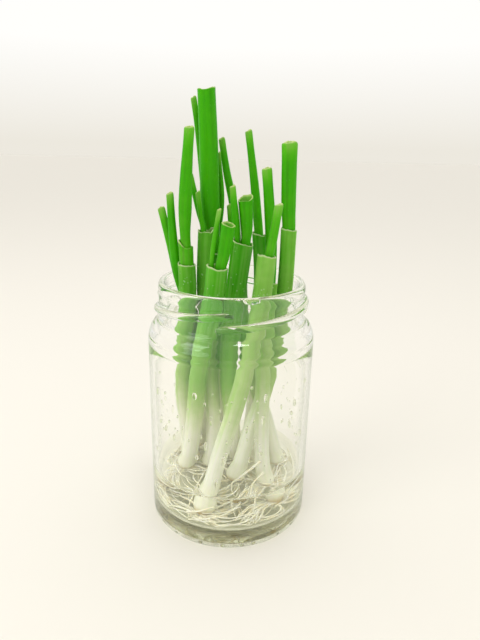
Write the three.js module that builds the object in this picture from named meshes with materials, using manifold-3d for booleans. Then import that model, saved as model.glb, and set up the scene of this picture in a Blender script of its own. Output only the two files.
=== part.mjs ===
// Spring onions regrowing in a screw-neck glass jar with a little water.
// Millimetres, +Z up, origin on the table under the middle of the jar. -Y is the front.
// Every plant is one shank (root plate, roots, bulb and cut outer sheath in one piece)
// with its cut hollow leaves standing in the sheath's mouth.

import * as THREE from "three";
import { mergeVertices } from "three/addons/utils/BufferGeometryUtils.js";
import Module from "manifold-3d";

const wasm = await Module();
wasm.setup();

// Driving dimensions
const GAP = 0.3; // left between pieces that touch

const JAR = {
  height: 104,
  bodyRadius: 34,
  wall: 2.4,
  floor: 6.4,
  shoulderTop: 88,
  shoulderFoot: 76,
  neckRadius: 29.4,
  neckWall: 2.9,
  footRadius: 31.2,
  standRadius: 26,
  pushUp: 1.3,
  sides: 44,
};
const THREAD = { lugs: 4, radius: 29.8, section: 1.5, low: 92, rise: 5.4, sweep: 100, dip: 1.4 };
const WATER = { level: 22.5, pocketTop: 12.8, pocketRadius: 29.6, holeSlack: 0.5 };

const SHANK = { sides: 12, wall: 0.75, mouthDepth: 14, plateRadius: 2.8, ringStep: 12 };
const LEAF = { sides: 9, wall: 0.7, hollowDepth: 12, ringStep: 13, thinnestHollow: 1.7 };
const ROOT = { perPlant: 7, thickness: 0.9, step: 3.6, mostSteps: 7, clear: 1.35, layers: [7.35, 8.9] };

// One row per plant. route: the shank's centreline from the root plate to the cut.
// bulb, radius, top: radii at the bulb, along the shank and at the cut.
// A leaf has its place in the sheath's mouth (seat: sideways, back), then the points that
// it passes on the way to its cut tip, and its radii at foot, middle and tip.
const PLANTS = [
  {
    name: "left",
    route: [[-18.5, 14, 9.5], [-20.4, 8.2, 38], [-20.8, 3.4, 64], [-17.9, 0, 99], [-18.1, -1, 110]],
    bulb: 4.3, radius: 3.5, top: 3.5,
    leaves: [
      { name: "inner_sheath", seat: [0, 0], to: [[-18.4, -1, 118]], radii: [2.2, 2.8, 2.85],
        notch: 3, hollow: 9 },
      { name: "leaf_1", inside: "inner_sheath", depth: 8.6, seat: [0, 0],
        to: [[-18.6, -1, 124], [-18, -0.8, 142], [-16.5, -0.8, 161]], radii: [1.05, 2.3, 1.9] },
    ],
  },
  {
    name: "far_left",
    route: [[-11.4, 22.4, 9.5], [-14.6, 17, 40], [-18.1, 11.6, 70], [-18.8, 8.6, 90]],
    bulb: 4.2, radius: 3.2, top: 4,
    leaves: [
      { name: "leaf_1", seat: [-0.3, -1.45], to: [[-22, 3.6, 104], [-23.5, 2.4, 117], [-24.6, 2.4, 137]], radii: [1.15, 1.9, 1.4] },
      { name: "leaf_2", seat: [-0.9, 1.35], to: [[-22.9, 7.4, 103], [-25.2, 6.4, 115.5], [-28.6, 6.2, 131]], radii: [0.9, 1.5, 1.45] },
      { name: "leaf_3", seat: [1.6, 0.9], to: [[-17.4, 8.2, 99], [-19.8, 5.4, 120]], radii: [0.6, 0.7, 0.75] },
    ],
  },
  {
    name: "front_left",
    route: [[-20.2, 2.4, 9.5], [-17.6, 1.6, 25], [-15.4, -0.2, 42], [-13, -5, 67], [-6.8, -13, 99], [-5.5, -14.6, 112]],
    bulb: 4.4, radius: 3.6, top: 4.2,
    leaves: [
      { name: "leaf_1", seat: [0.8, 0], to: [[-3.8, -15, 114], [-1.6, -15.4, 128]], radii: [2, 2.4, 2.55] },
      { name: "leaf_2", seat: [-2.15, 0.2], to: [[-7.5, -14, 116], [-5, -13.4, 133]], radii: [0.7, 0.95, 0.8] },
    ],
  },
  {
    name: "centre",
    route: [[3.2, 9.5, 9.5], [1, 4, 38], [-1, 0, 66], [1.4, -3, 97], [3.9, -3.4, 119.5]],
    bulb: 4.3, radius: 3.5, top: 4.2,
    leaves: [
      { name: "leaf_1", seat: [1.15, 0], to: [[5.3, -3.2, 123], [4.6, -2.6, 136]], radii: [1.7, 2.3, 2.6] },
      { name: "leaf_2", seat: [-1.85, -0.3], to: [[1.5, -3.8, 122], [-0.4, -3.8, 140.5]], radii: [0.85, 1.45, 1.15] },
    ],
  },
  {
    name: "left_centre",
    route: [[-8.6, 3, 9.5], [-7.3, 4.2, 38], [-9.4, 5, 66], [-11.2, 5, 97], [-10.6, 5, 122.5]],
    bulb: 4.2, radius: 3.3, top: 3.4,
    leaves: [
      { name: "leaf_1", seat: [-1.1, -0.95], to: [[-12.4, 4.9, 125], [-14, 5.2, 137.5]], radii: [0.65, 0.95, 0.95] },
      { name: "leaf_2", seat: [-0.65, 0.95], to: [[-12.8, 7.4, 126], [-17.2, 8, 144]], radii: [0.65, 1.2, 1.1] },
    ],
  },
  {
    name: "rear_left",
    route: [[-1.8, 21.5, 9.5], [-4.2, 18.4, 40], [-7.2, 15, 80], [-8.8, 13.4, 112]],
    bulb: 4.5, radius: 3.7, top: 4.9,
    leaves: [
      { name: "leaf_1", seat: [0, -1.35], to: [[-9.5, 12.4, 132], [-10, 12.2, 152], [-11, 11.8, 173.5]],
        radii: [2.2, 3.7, 3.05], notch: 1.1 },
      { name: "leaf_2", seat: [-1.6, 2.2], to: [[-12.6, 17.2, 140], [-14.8, 16.8, 162], [-16.3, 16.6, 172.5]], radii: [0.75, 1.3, 1.15] },
      { name: "leaf_3", seat: [1.6, 2.2], to: [[-4.8, 15.4, 133], [-6.2, 14.9, 152]], radii: [0.75, 1.2, 0.75] },
    ],
  },
  {
    name: "rear_centre",
    route: [[22.8, 5, 9.5], [19.8, 7.6, 26], [10.8, 13, 60], [4.4, 15, 90], [2.6, 16, 112]],
    bulb: 4.3, radius: 3.4, top: 3.6,
    leaves: [
      { name: "leaf_1", seat: [-0.4, 0.9], to: [[0.2, 18, 130], [-2.9, 17.8, 144], [-5.2, 17.6, 157.5]], radii: [1.3, 1.85, 1.25] },
      { name: "leaf_2", seat: [-0.2, -1.6], to: [[-0.4, 12.8, 119], [-1.9, 12.4, 132]], radii: [0.6, 0.9, 0.85] },
    ],
  },
  {
    name: "rear_right",
    route: [[9, 24.2, 9.5], [11.6, 23, 45], [12.6, 18.4, 76], [12.5, 14.6, 103], [11.2, 14, 120]],
    bulb: 4.2, radius: 3.1, top: 3.2,
    leaves: [
      { name: "leaf_1", seat: [-0.4, 0], to: [[8.4, 14, 140], [5.4, 14, 160.5]], radii: [1.4, 1.85, 1.4] },
    ],
  },
  {
    name: "right",
    route: [[2, -8, 9.5], [9.2, 1, 35], [18.4, 5, 65], [21.6, 2.8, 99], [22, 2, 124]],
    bulb: 4.4, radius: 3.3, top: 3.1,
    leaves: [
      { name: "leaf_1", seat: [0, 0], to: [[21.4, 1.8, 132], [20.6, 1.8, 156.5]], radii: [1.8, 2.9, 3] },
    ],
  },
  {
    name: "mid_right",
    route: [[16.6, -10.6, 9.5], [14.2, -8.4, 27], [13.6, -4.8, 52], [14.2, -2.4, 78], [15.2, -0.6, 103]],
    bulb: 4.3, radius: 3.1, top: 3.2,
    leaves: [
      { name: "leaf_1", seat: [0, 0], to: [[15.2, 0.6, 118], [14, 0.8, 132], [12.4, 0.8, 147]], radii: [1.9, 2.2, 1.9] },
    ],
  },
  {
    name: "front_right",
    route: [[-9.6, -19.6, 9.5], [-4.8, -18, 31], [0.9, -16, 51], [7.4, -13.8, 77], [11.4, -12, 101], [12.7, -12, 116]],
    bulb: 4.8, radius: 3.9, top: 3.7,
    leaves: [
      { name: "leaf_1", seat: [0.9, 0.2], to: [[14.4, -11.9, 120], [16.6, -12, 135]], radii: [1.4, 1.75, 1.6] },
    ],
  },
];

// Small helpers
const v3 = (p) => new THREE.Vector3(...p);
const mixed = (a, b, t) => a + (b - a) * t;
const smooth = (t) => t * t * (3 - 2 * t);
const DOWN_THE_AXIS = new THREE.Vector3(1, 0, 0);

function randomFrom(seed) {
  let state = seed >>> 0;
  return () => {
    state = (Math.imul(state, 1664525) + 1013904223) >>> 0;
    return state / 4294967296;
  };
}

function solidOf(geometry) {
  const bare = new THREE.BufferGeometry();
  bare.setAttribute("position", geometry.getAttribute("position").clone());
  if (geometry.index) bare.setIndex(geometry.index.clone());
  const merged = mergeVertices(bare, 1e-4);
  return new wasm.Manifold(
    new wasm.Mesh({
      numProp: 3,
      vertProperties: new Float32Array(merged.attributes.position.array),
      triVerts: new Uint32Array(merged.index.array),
    }),
  );
}

function geometryOf(solid) {
  const { vertProperties, triVerts } = solid.getMesh();
  const geometry = new THREE.BufferGeometry();
  geometry.setAttribute("position", new THREE.BufferAttribute(new Float32Array(vertProperties), 3));
  geometry.setIndex(new THREE.BufferAttribute(new Uint32Array(triVerts), 1));
  geometry.computeVertexNormals();
  return geometry;
}

// A profile of [radius, height] pairs turned round the Z axis.
function turned(profile, sides) {
  const points = profile.map(([r, h]) => new THREE.Vector2(r, h));
  return new THREE.LatheGeometry(points, sides).rotateX(Math.PI / 2);
}

// The frame of a near-upright curve at a length along it: its point, a sideways and a backward direction.
function frameAt(curve, distance) {
  const share = THREE.MathUtils.clamp(distance / curve.getLength(), 0, 1);
  const point = curve.getPointAt(share);
  const along = curve.getTangentAt(share);
  const side = DOWN_THE_AXIS.clone().addScaledVector(along, -along.x).normalize();
  const back = along.clone().cross(side);
  point.addScaledVector(along, distance - share * curve.getLength());
  return { point, along, side, back };
}

// A turned profile bent along a curve, with its cut end shaped by cutAt(angle).
function stalk(profile, sides, curve, cutAt = () => 0) {
  const geometry = turned(profile, sides);
  const place = geometry.getAttribute("position");
  const tall = Math.max(...profile.map(([, h]) => h));
  for (let i = 0; i < place.count; i++) {
    const [x, y, h] = [place.getX(i), place.getY(i), place.getZ(i)];
    const isCut = h > tall - 0.01;
    const { point, side, back } = frameAt(curve, h + (isCut ? cutAt(Math.atan2(y, x)) : 0));
    point.addScaledVector(side, x).addScaledVector(back, y);
    place.setXYZ(i, point.x, point.y, point.z);
  }
  return geometry;
}

// Heights of the rings between two heights, about a step apart.
function rings(from, to, step) {
  const count = Math.max(1, Math.round((to - from) / step));
  return Array.from({ length: count + 1 }, (_, i) => mixed(from, to, i / count));
}

// The jar: a turned shell, with the thread's lugs on its neck
function jarProfile() {
  const { height, bodyRadius, wall, floor, shoulderTop, shoulderFoot, neckRadius, neckWall } = JAR;
  const inner = bodyRadius - wall;
  const neckInner = neckRadius - neckWall;
  const shoulder = (rBody, rNeck, drop) =>
    [0.25, 0.5, 0.75].map((t) => [
      mixed(rNeck, rBody, Math.cos((t * Math.PI) / 2)),
      mixed(shoulderFoot - drop, shoulderTop, Math.sin((t * Math.PI) / 2)),
    ]);
  return [
    [0, JAR.pushUp],
    [JAR.standRadius - 6, JAR.pushUp],
    [JAR.standRadius, 0],
    [JAR.footRadius, 0],
    [bodyRadius - 0.9, 1.4],
    [bodyRadius, 4.6],
    [bodyRadius, shoulderFoot],
    ...shoulder(bodyRadius, neckRadius, 0),
    [neckRadius, shoulderTop],
    [neckRadius, height - 1.6],
    [neckRadius - 0.7, height - 0.3],
    [neckRadius - 1.5, height],
    [neckInner + 0.5, height - 0.3],
    [neckInner, height - 1.5],
    [neckInner, shoulderTop - 1],
    ...shoulder(inner, neckInner, 2).reverse(),
    [inner, shoulderFoot - 2],
    [inner, floor + 5],
    [inner - 1.5, floor + 1.5],
    [inner - 5, floor],
    [0, floor],
  ];
}

// The line down the middle of one lug. Its ends sink into the neck.
class LugLine extends THREE.Curve {
  constructor(start) {
    super();
    this.start = start;
  }
  getPoint(t, target = new THREE.Vector3()) {
    const angle = this.start + THREE.MathUtils.degToRad(THREAD.sweep) * t;
    const radius = THREAD.radius - THREAD.dip * Math.pow(2 * t - 1, 6);
    return target.set(radius * Math.cos(angle), radius * Math.sin(angle), THREAD.low + THREAD.rise * t);
  }
}

function jar() {
  let glass = solidOf(turned(jarProfile(), JAR.sides));
  const section = new THREE.Shape(new THREE.EllipseCurve(0, 0, THREAD.section, THREAD.section).getPoints(7).slice(1));
  const frontEnd = THREE.MathUtils.degToRad(-100); // where the lug on the right starts, just left of the front
  for (let i = 0; i < THREAD.lugs; i++) {
    const line = new LugLine(frontEnd + (i * 2 * Math.PI) / THREAD.lugs);
    const lug = new THREE.ExtrudeGeometry(section, { steps: 11, extrudePath: line, bevelEnabled: false });
    glass = glass.add(solidOf(lug));
  }
  return geometryOf(glass);
}

// A shank: root plate, bulb and the outer sheath, whose cut mouth holds the leaves
const shankLine = (plant) => new THREE.CatmullRomCurve3(plant.route.map(v3));

function shankProfile(plant, long) {
  const { bulb, radius, top } = plant;
  const hold = plant.leaves.length ? SHANK.mouthDepth : 0;
  const start = 24;
  const upper = rings(start, long, SHANK.ringStep).map((h) => [
    mixed(radius, top, smooth((h - start) / (long - start))),
    h,
  ]);
  return [
    [0, 0],
    [SHANK.plateRadius, 0],
    [bulb * 0.9, 1.6],
    [bulb, 4.6],
    [mixed(radius, bulb, 0.75), 9],
    [mixed(radius, bulb, 0.2), 15],
    ...upper,
    [top - SHANK.wall, long],
    [top - SHANK.wall - 0.1, long - hold],
    [0, long - hold],
  ];
}

function shankBody(plant) {
  const line = shankLine(plant);
  const ragged = (angle) => 0.5 * Math.cos(angle + 2.2) + 0.25 * Math.sin(3 * angle + plant.bulb * 7);
  return solidOf(stalk(shankProfile(plant, line.getLength()), SHANK.sides, line, ragged));
}

// A leaf: a tube, hollow at its cut tip, that stands in the mouth of its sheath
function leafLine(plant, leaf) {
  const holder = plant.leaves.find((other) => other.name === leaf.inside);
  const line = holder ? leafLine(plant, holder) : shankLine(plant);
  const long = line.getLength();
  const seated = (depth) => {
    const { point, side, back } = frameAt(line, long - depth);
    return point.addScaledVector(side, leaf.seat[0]).addScaledVector(back, leaf.seat[1]);
  };
  const deep = leaf.depth ?? SHANK.mouthDepth;
  const standing = [deep - GAP, deep / 2, 0.5].map(seated);
  return new THREE.CatmullRomCurve3([...standing, ...leaf.to.map(v3)]);
}

function leafGeometry(plant, leaf) {
  const line = leafLine(plant, leaf);
  const long = line.getLength();
  const [foot, middle, tip] = leaf.radii;
  const freeFrom = (leaf.depth ?? SHANK.mouthDepth) + 1;
  const half = mixed(freeFrom, long, 0.3);
  const radiusAt = (h) => {
    if (h <= freeFrom) return foot;
    if (h <= half) return mixed(foot, middle, smooth((h - freeFrom) / (half - freeFrom)));
    return mixed(middle, tip, smooth((h - half) / (long - half)));
  };
  const outer = [0, ...rings(freeFrom, long, LEAF.ringStep)].map((h) => [radiusAt(h), h]);
  const depth = leaf.hollow ?? Math.min(LEAF.hollowDepth, (long - freeFrom) * 0.7);
  const bore = tip - LEAF.wall;
  const hollow = [
    [bore, long],
    [Math.min(bore, radiusAt(long - depth) - LEAF.wall), long - depth],
    [0, long - depth],
  ];
  const end = tip >= LEAF.thinnestHollow ? hollow : [[0, long]];
  const notch = leaf.notch ?? 0.3;
  const cut = (angle) => notch * (Math.cos(2 * angle + 0.4) - 0.3) * (tip / 3) + 0.15 * Math.sin(3 * angle);
  return stalk([[0, 0], ...outer, ...end], LEAF.sides, line, cut);
}

// Roots grow from the plate down to the jar's floor and over it, wherever there is room.
const floorRadiusAt = (z) => JAR.bodyRadius - JAR.wall - (z < JAR.floor + 1.5 ? 5.4 : 3);

function isRoomFor(point, owner, grown) {
  if (Math.hypot(point.x, point.y) > floorRadiusAt(point.z)) return false;
  const bulbs = PLANTS.filter((p) => p !== owner);
  if (bulbs.some((p) => Math.hypot(point.x - p.route[0][0], point.y - p.route[0][1]) < p.bulb + 1.2)) return false;
  return grown.every((other) => other.owner === owner || other.point.distanceTo(point) > ROOT.clear);
}

function samplesBetween(a, b) {
  return [0.25, 0.5, 0.75, 1].map((t) => a.clone().lerp(b, t));
}

function growRoot(plant, turn, layer, random, grown) {
  const plate = v3(plant.route[0]);
  const out = (reach, angle, z) =>
    new THREE.Vector3(plate.x + reach * Math.cos(angle), plate.y + reach * Math.sin(angle), z);
  const points = [out(1.2, turn, plate.z + 1.4), out(1.9, turn, plate.z - 0.4), out(3.6, turn, layer)];
  const low = points.slice(1).every((p) => isRoomFor(p, plant, grown));
  if (!low) return null;
  let heading = turn;
  for (let i = 0; i < ROOT.mostSteps; i++) {
    const last = points[points.length - 1];
    const wander = (random() - 0.5) * 0.9;
    const tries = [0, 0.35, -0.35, 0.7, -0.7, 1.1, -1.1].map((bend) => heading + wander + bend);
    const next = tries
      .map((angle) => ({
        angle,
        point: new THREE.Vector3(last.x + ROOT.step * Math.cos(angle), last.y + ROOT.step * Math.sin(angle), layer),
      }))
      .find(({ point }) => samplesBetween(last, point).every((p) => isRoomFor(p, plant, grown)));
    if (!next) break;
    heading = next.angle;
    points.push(next.point);
  }
  return points.length > 3 ? points : null;
}

function growAllRoots() {
  const random = randomFrom(20);
  const grown = [];
  const roots = new Map(PLANTS.map((plant) => [plant, []]));
  for (let i = 0; i < ROOT.perPlant; i++) {
    for (const plant of PLANTS) {
      const turn = (i / ROOT.perPlant) * 2 * Math.PI + random() * 0.6;
      const points = growRoot(plant, turn, ROOT.layers[i % 2], random, grown);
      if (!points) continue;
      roots.get(plant).push(points);
      points.slice(1).forEach((p, k) => {
        samplesBetween(points[k], p).forEach((point) => grown.push({ owner: plant, point }));
      });
    }
  }
  return roots;
}

function rootBody(points) {
  const r = ROOT.thickness / 2;
  const corner = (k) => new THREE.Vector2(r * Math.cos((k * 2 * Math.PI) / 3), r * Math.sin((k * 2 * Math.PI) / 3));
  const section = new THREE.Shape([0, 1, 2].map(corner));
  const line = new THREE.CatmullRomCurve3(points);
  return solidOf(
    new THREE.ExtrudeGeometry(section, { steps: points.length, extrudePath: line, bevelEnabled: false }),
  );
}

// The water: level with the surface, with a plain hole for each shank and a pocket over the floor for the roots
function water() {
  const outer = JAR.bodyRadius - JAR.wall - GAP;
  const bottom = JAR.floor + GAP;
  const profile = [
    [0, WATER.pocketTop],
    [WATER.pocketRadius, WATER.pocketTop],
    [WATER.pocketRadius, bottom + 4],
    [outer, bottom + 5.2],
    [outer, WATER.level],
    [0, WATER.level],
  ];
  let body = solidOf(turned(profile, JAR.sides));
  for (const plant of PLANTS) {
    const r = plant.bulb + WATER.holeSlack;
    const hole = [[0, -1], [r, -1], [r, 8], [r, 17], [0, 17]];
    body = body.subtract(solidOf(stalk(hole, SHANK.sides, shankLine(plant))));
  }
  return geometryOf(body);
}

// Materials
const glassLook = new THREE.MeshStandardMaterial({ color: 0xdfe9e4, roughness: 0.05, metalness: 0, transparent: true, opacity: 0.35 });
const waterLook = new THREE.MeshStandardMaterial({ color: 0xe9ead2, roughness: 0.05, metalness: 0, transparent: true, opacity: 0.4 });
const shankLook = new THREE.MeshStandardMaterial({ color: 0xc9dba0, roughness: 0.45, metalness: 0 });
const leafLook = new THREE.MeshStandardMaterial({ color: 0x3f9a10, roughness: 0.45, metalness: 0 });

function piece(name, geometry, material) {
  const mesh = new THREE.Mesh(geometry, material);
  mesh.name = name;
  return mesh;
}

const bunch = new THREE.Group();
bunch.add(piece("glass_jar", jar(), glassLook));
bunch.add(piece("water", water(), waterLook));

const allRoots = growAllRoots();
for (const plant of PLANTS) {
  const withRoots = wasm.Manifold.union([shankBody(plant), ...allRoots.get(plant).map(rootBody)]);
  bunch.add(piece(`${plant.name}_shank`, geometryOf(withRoots), shankLook));
  for (const leaf of plant.leaves) {
    bunch.add(piece(`${plant.name}_${leaf.name}`, leafGeometry(plant, leaf), leafLook));
  }
}

export default bunch;
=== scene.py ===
import math
import random

import bpy
from mathutils import Matrix, Vector


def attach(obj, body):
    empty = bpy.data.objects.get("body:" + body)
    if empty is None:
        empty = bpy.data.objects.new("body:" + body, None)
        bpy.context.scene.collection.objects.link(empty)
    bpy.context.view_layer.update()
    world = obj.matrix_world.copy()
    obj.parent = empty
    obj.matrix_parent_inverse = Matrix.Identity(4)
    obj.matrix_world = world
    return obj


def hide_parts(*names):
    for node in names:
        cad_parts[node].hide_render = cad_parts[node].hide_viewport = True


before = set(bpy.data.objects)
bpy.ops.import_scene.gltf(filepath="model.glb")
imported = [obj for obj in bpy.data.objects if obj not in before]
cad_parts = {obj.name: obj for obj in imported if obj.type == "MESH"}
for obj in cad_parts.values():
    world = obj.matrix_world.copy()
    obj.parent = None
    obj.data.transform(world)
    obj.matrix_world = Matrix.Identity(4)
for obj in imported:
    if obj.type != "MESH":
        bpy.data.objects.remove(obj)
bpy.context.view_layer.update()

MM = 0.001


# Camera

CAMERA_PLACE = (0, -0.2034, 0.1548)
CAMERA_DOWN = math.radians(18.54)
CAMERA_TURN = math.radians(0.99)
CAMERA_ROLL = math.radians(1.29)
CAMERA_LENS = 29.29
CAMERA_SENSOR = 36  # mm, the picture's longer side


def add_camera():
    """The camera at its place, turned down, sideways and about its own line of sight."""
    bpy.ops.object.camera_add()
    camera = bpy.context.object
    ahead = Vector((
        math.sin(CAMERA_TURN) * math.cos(CAMERA_DOWN),
        math.cos(CAMERA_TURN) * math.cos(CAMERA_DOWN),
        -math.sin(CAMERA_DOWN),
    ))
    level = Vector((math.cos(CAMERA_TURN), -math.sin(CAMERA_TURN), 0))
    upright = level.cross(ahead)
    right = level * math.cos(CAMERA_ROLL) + upright * math.sin(CAMERA_ROLL)
    up = upright * math.cos(CAMERA_ROLL) - level * math.sin(CAMERA_ROLL)
    facing = Matrix((right, up, -ahead)).transposed().to_4x4()
    camera.matrix_world = Matrix.Translation(CAMERA_PLACE) @ facing
    camera.data.lens = CAMERA_LENS
    camera.data.sensor_width = CAMERA_SENSOR
    camera.data.clip_start = 0.01
    bpy.context.scene.camera = camera


add_camera()


# Hand tools

def select_only(piece):
    bpy.ops.object.select_all(action="DESELECT")
    piece.select_set(True)
    bpy.context.view_layer.objects.active = piece


def edit(piece, kind="VERT"):
    """Opens the piece in edit mode with all of it selected."""
    select_only(piece)
    bpy.ops.object.mode_set(mode="EDIT")
    bpy.ops.mesh.select_mode(type=kind)
    bpy.ops.mesh.select_all(action="SELECT")


def done():
    bpy.ops.object.mode_set(mode="OBJECT")


def apply_modifier(piece, kind, **settings):
    """Adds a modifier with these settings and applies it."""
    select_only(piece)
    modifier = piece.modifiers.new(kind.title(), kind)
    for name, value in settings.items():
        setattr(modifier, name, value)
    bpy.ops.object.modifier_apply(modifier=modifier.name)


def smooth(piece, degrees):
    """Shades the piece smooth, but for edges sharper than this angle."""
    select_only(piece)
    bpy.ops.object.shade_smooth_by_angle(angle=math.radians(degrees))


def join(pieces, name):
    """Makes one piece of several."""
    bpy.ops.object.select_all(action="DESELECT")
    for piece in pieces:
        piece.select_set(True)
    bpy.context.view_layer.objects.active = pieces[0]
    if len(pieces) > 1:
        bpy.ops.object.join()
    pieces[0].name = pieces[0].data.name = name
    return pieces[0]


def turned(name, profile, sides):
    """A closed body of revolution about Z: a disc whose face is extruded and resized
    through (radius, height) rings, in mm."""
    (radius, height), *rings = profile
    bpy.ops.object.select_all(action="DESELECT")
    bpy.ops.mesh.primitive_circle_add(
        vertices=sides, radius=radius * MM, fill_type="NGON", location=(0, 0, height * MM),
    )
    piece = bpy.context.object
    piece.name = piece.data.name = name
    bpy.ops.object.transform_apply(location=True)
    edit(piece, "FACE")
    for next_radius, next_height in rings:
        rise = (next_height - height) * MM
        bpy.ops.mesh.extrude_region_move(TRANSFORM_OT_translate={"value": (0, 0, rise)})
        growth = next_radius / radius
        bpy.ops.transform.resize(value=(growth, growth, 1), center_override=(0, 0, next_height * MM))
        radius, height = next_radius, next_height
    bpy.ops.mesh.select_all(action="SELECT")
    bpy.ops.mesh.normals_make_consistent(inside=False)
    done()
    return piece


def strands(name, routes, thickness, ends=(1, 1), sides=1):
    """Round strands along routes in mm, as one mesh. Their thickness changes from one end to the other."""
    data = bpy.data.curves.new(name, "CURVE")
    data.dimensions = "3D"
    data.bevel_depth = thickness / 2 * MM
    data.bevel_resolution = sides
    data.use_fill_caps = True
    for route in routes:
        spline = data.splines.new("POLY")
        spline.points.add(len(route) - 1)
        for i, (point, place) in enumerate(zip(spline.points, route)):
            point.co = (*(Vector(place) * MM), 1)
            point.radius = ends[0] + (ends[1] - ends[0]) * i / (len(route) - 1)
    piece = bpy.data.objects.new(name, data)
    bpy.context.collection.objects.link(piece)
    select_only(piece)
    bpy.ops.object.convert(target="MESH")
    return bpy.context.object


class Route:
    """A smooth line through points in mm, with its length and its own closely spaced points."""

    def __init__(self, points, spacing=1.2):
        self.points = []
        points = [Vector(p) for p in points]
        ends = [2 * points[0] - points[1], *points, 2 * points[-1] - points[-2]]
        for p0, p1, p2, p3 in zip(ends, ends[1:], ends[2:], ends[3:]):
            count = max(2, round((p2 - p1).length / spacing))
            for i in range(count):
                self.points.append(self.between(p0, p1, p2, p3, i / count))
        self.points.append(points[-1])
        self.reached = [0.0]
        for a, b in zip(self.points, self.points[1:]):
            self.reached.append(self.reached[-1] + (b - a).length)
        self.length = self.reached[-1]

    @staticmethod
    def between(p0, p1, p2, p3, t):
        """The place a share t of the way from p1 to p2, on a line that also passes p0 and p3."""
        d0, d1, d2 = ((b - a).length ** 0.5 or 1.0 for a, b in ((p0, p1), (p1, p2), (p2, p3)))
        start = ((p1 - p0) / d0 - (p2 - p0) / (d0 + d1) + (p2 - p1) / d1) * d1
        end = ((p2 - p1) / d1 - (p3 - p1) / (d1 + d2) + (p3 - p2) / d2) * d1
        return (
            p1
            + start * t
            + (3 * (p2 - p1) - 2 * start - end) * t ** 2
            + (2 * (p1 - p2) + start + end) * t ** 3
        )

    def at(self, distance):
        """The point there, with the sideways and backward directions."""
        i = 0
        while i < len(self.reached) - 2 and self.reached[i + 1] < distance:
            i += 1
        along = (self.points[i + 1] - self.points[i]).normalized()
        point = self.points[i] + along * (distance - self.reached[i])
        side = (Vector((1, 0, 0)) - along * along.x).normalized()
        return point, side, along.cross(side)


OVERRUN = 6  # mm of straight line past a route's end, for cut edges that stand above it


def bend_along(piece, route):
    """Bends an upright piece so that its Z axis follows a route, with its X axis still to the right."""
    last = route.points[-1] + (route.points[-1] - route.points[-2]).normalized() * OVERRUN
    points = [*route.points, last]
    data = bpy.data.curves.new("route", "CURVE")
    data.dimensions = "3D"
    spline = data.splines.new("POLY")
    spline.points.add(len(points) - 1)
    for point, place in zip(spline.points, points):
        point.co = (*(place * MM), 1)
    line = bpy.data.objects.new("route", data)
    bpy.context.collection.objects.link(line)
    first = points[1] - points[0]
    piece.data.transform(Matrix.Rotation(-math.atan2(first.y, first.x) - math.pi / 2, 4, "Z"))
    apply_modifier(piece, "CURVE", object=line, deform_axis="POS_Z")
    bpy.data.objects.remove(line)


def mix(a, b, t):
    """The value a share t of the way from a to b."""
    return a + (b - a) * t


def ease(t):
    """A slow start and a slow end, from 0 to 1."""
    t = min(1.0, max(0.0, t))
    return t * t * (3 - 2 * t)


# Materials

def colour(r, g, b):
    """A colour as picked on a screen, 0 to 255."""
    shares = (c / 255 for c in (r, g, b))
    return tuple(s / 12.92 if s < 0.04 else ((s + 0.055) / 1.055) ** 2.4 for s in shares) + (1.0,)


def add_node(tree, kind, values=(), **settings):
    """A node with its settings. Each input named gets a value, or a link from a socket."""
    node = tree.nodes.new("ShaderNode" + kind)
    for name, value in settings.items():
        setattr(node, name, value)
    for name, value in dict(values).items():
        if isinstance(value, bpy.types.NodeSocket):
            tree.links.new(value, node.inputs[name])
        else:
            node.inputs[name].default_value = value
    return node


def new_material(name, values):
    """A material with one plain surface, its inputs set to the values."""
    material = bpy.data.materials.new(name)
    material.use_nodes = True
    tree = material.node_tree
    tree.nodes.clear()
    skin = add_node(tree, "BsdfPrincipled", values)
    output = add_node(tree, "OutputMaterial", {"Surface": skin.outputs[0]})
    return material, tree, skin, output


def ramp(tree, source, stops, mode="LINEAR"):
    """A colour or grey that changes with the source, through (place, value) stops."""
    node = add_node(tree, "ValToRGB", {0: source})
    node.color_ramp.interpolation = mode
    elements = node.color_ramp.elements
    while len(elements) < len(stops):
        elements.new(0.5)
    for element, (place, value) in zip(elements, stops):
        element.position = place
        element.color = value if isinstance(value, tuple) else (value, value, value, 1)
    return node.outputs[0]


def mixed(tree, factor, a, b, blend="MIX"):
    """Colours a and b mixed. Each of the three is a socket or a value."""
    return add_node(tree, "Mix", {0: factor, 6: a, 7: b}, data_type="RGBA", blend_type=blend).outputs[2]


def ranged(tree, source, low, high, start=0.0, end=1.0):
    """The source's values from low to high taken to those from start to end."""
    values = {0: source, "From Min": low, "From Max": high, "To Min": start, "To Max": end}
    return add_node(tree, "MapRange", values).outputs[0]


def maths(tree, operation, a, b):
    """Two sockets or values added, multiplied or compared."""
    return add_node(tree, "Math", {0: a, 1: b}, operation=operation).outputs[0]


def clouds(tree, place, scale, detail, roughness=0.5):
    """Cloudy noise at a place, 0 to 1."""
    values = {"Vector": place, "Scale": scale, "Detail": detail, "Roughness": roughness}
    return add_node(tree, "TexNoise", values).outputs["Fac"]


def uneven(tree, skin, source, strength, depth):
    """Lets the source raise and lower the surface's shading."""
    bump = add_node(tree, "Bump", {"Height": source, "Strength": strength, "Distance": depth})
    tree.links.new(bump.outputs[0], skin.inputs["Normal"])


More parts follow.
